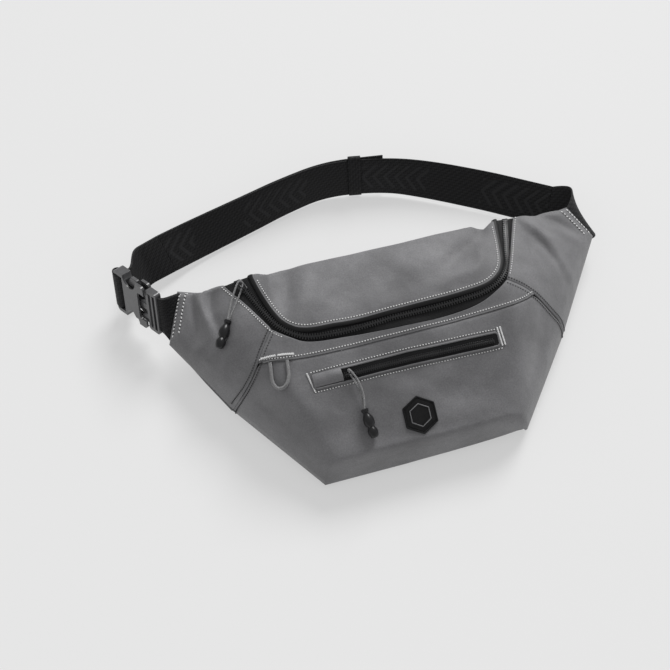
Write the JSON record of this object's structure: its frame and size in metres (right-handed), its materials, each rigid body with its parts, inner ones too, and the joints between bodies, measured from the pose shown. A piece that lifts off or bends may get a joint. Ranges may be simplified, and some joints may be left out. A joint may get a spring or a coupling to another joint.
{
  "type": "waist pack",
  "caption": "Waist pack lying on its back, with a U-zip lid, a zipped front pocket, cord zip pulls and a webbing belt with a side-release buckle.",
  "frame": {"origin": "centre of the back panel's underside, which the pack lies on", "axes": "+Z out of the pack's front, +Y to the pack's top edge, +X to the strap end that is sewn to the wing"},
  "size_m": [0.4444, 0.3017, 0.0897],
  "materials": {
    "shell_fabric": "coated woven, matte",
    "back_mesh": "padded knit, matte",
    "lining_fabric": "smooth woven",
    "zip_tape": "woven tape",
    "zip_teeth": "moulded, satin",
    "piping": "folded edge",
    "slider_metal": "black, satin",
    "pull_cord": "braided cord",
    "pull_plastic": "moulded, satin",
    "thread": "dense stitching",
    "badge_thread": "satin stitch",
    "loop_cord": "braided cord",
    "webbing": "woven webbing",
    "buckle_plastic": "moulded, satin"
  },
  "bodies": {
    "pack": {"front_panel": "shell_fabric", "middle_band": "shell_fabric", "left_gusset": "shell_fabric", "right_gusset": "shell_fabric", "top_wall": "shell_fabric", "left_wing": "shell_fabric", "right_wing": "shell_fabric", "pocket_zip_garage": "shell_fabric", "back_panel": "back_mesh", "main_lining": "lining_fabric", "pocket_lining": "lining_fabric", "main_zip_tape_body": "zip_tape", "pocket_zip_tape": "zip_tape", "main_zip_teeth_body": "zip_teeth", "pocket_zip_teeth": "zip_teeth", "pocket_bartacks": "thread", "loop_bartack": "thread", "front_badge": "badge_thread", "cord_loop": "loop_cord", "strap": "webbing", "strap_return": "webbing", "strap_anchor": "webbing", "buckle_tab": "webbing", "buckle_base": "buckle_plastic"},
    "lid": {"lid_panel": "shell_fabric", "lid_piping": "piping", "lid_lining": "lining_fabric", "main_zip_teeth_lid": "zip_teeth", "main_zip_tape_lid": "zip_tape"},
    "main_slider": {"main_slider": "slider_metal"},
    "main_pull": {"main_pull_cord": "pull_cord", "main_pull_toggle": "pull_plastic"},
    "pocket_slider": {"pocket_slider": "slider_metal"},
    "pocket_pull": {"pocket_pull_cord": "pull_cord", "pocket_pull_toggle": "pull_plastic"},
    "buckle_housing": {"buckle_housing": "buckle_plastic", "strap_wrap": "webbing", "strap_end": "webbing"},
    "buckle_arm_upper": {"buckle_arm_upper": "buckle_plastic"},
    "buckle_arm_lower": {"buckle_arm_lower": "buckle_plastic"},
    "strap_keeper": {"strap_keeper": "webbing"}
  },
  "joints": [
    {"name": "lid_hinge", "type": "hinge", "parent": "pack", "child": "lid", "pos_m": [0, 0.09398, 0.03], "axis": [-1, 0, 0], "range_deg": [0, 105]},
    {"name": "main_slider_slide", "type": "slide", "parent": "pack", "child": "main_slider", "axis": [0.3681, -0.9074, 0.2029], "range_m": [0, 0.045]},
    {"name": "main_pull_swing", "type": "hinge", "parent": "main_slider", "child": "main_pull", "pos_m": [-0.12341, 0.08122, 0.0777], "axis": [-0.3681, 0.9074, -0.2029], "range_deg": [0, 110]},
    {"name": "pocket_slider_slide", "type": "slide", "parent": "pack", "child": "pocket_slider", "axis": [1, 0, 0], "range_m": [0, 0.118]},
    {"name": "pocket_pull_swing", "type": "hinge", "parent": "pocket_slider", "child": "pocket_pull", "pos_m": [-0.052, -0.02167, 0.07295], "axis": [-1, 0, 0], "range_deg": [0, 110]},
    {"name": "buckle_pull_out", "type": "slide", "parent": "pack", "child": "buckle_housing", "axis": [-0.5371, 0.7991, -0.27], "range_m": [0, 0.024], "deforming": ["strap_end"]},
    {"name": "arm_upper_press", "type": "hinge", "parent": "pack", "child": "buckle_arm_upper", "pos_m": [-0.20284, 0.10523, 0.05491], "axis": [-0.8379, -0.4689, 0.2793], "range_deg": [0, 6], "stiffness_Nm_per_rad": 0.5},
    {"name": "arm_lower_press", "type": "hinge", "parent": "pack", "child": "buckle_arm_lower", "pos_m": [-0.20574, 0.09394, 0.02726], "axis": [0.8379, 0.4689, -0.2793], "range_deg": [0, 6], "stiffness_Nm_per_rad": 0.5},
    {"name": "keeper_slide", "type": "slide", "parent": "pack", "child": "strap_keeper", "axis": [-0.9864, 0.1644, 0], "range_m": [-0.018, 0.018]}
  ],
  "couplings": [
    {"joint": "arm_lower_press", "follows": "arm_upper_press", "ratio": 1}
  ]
}
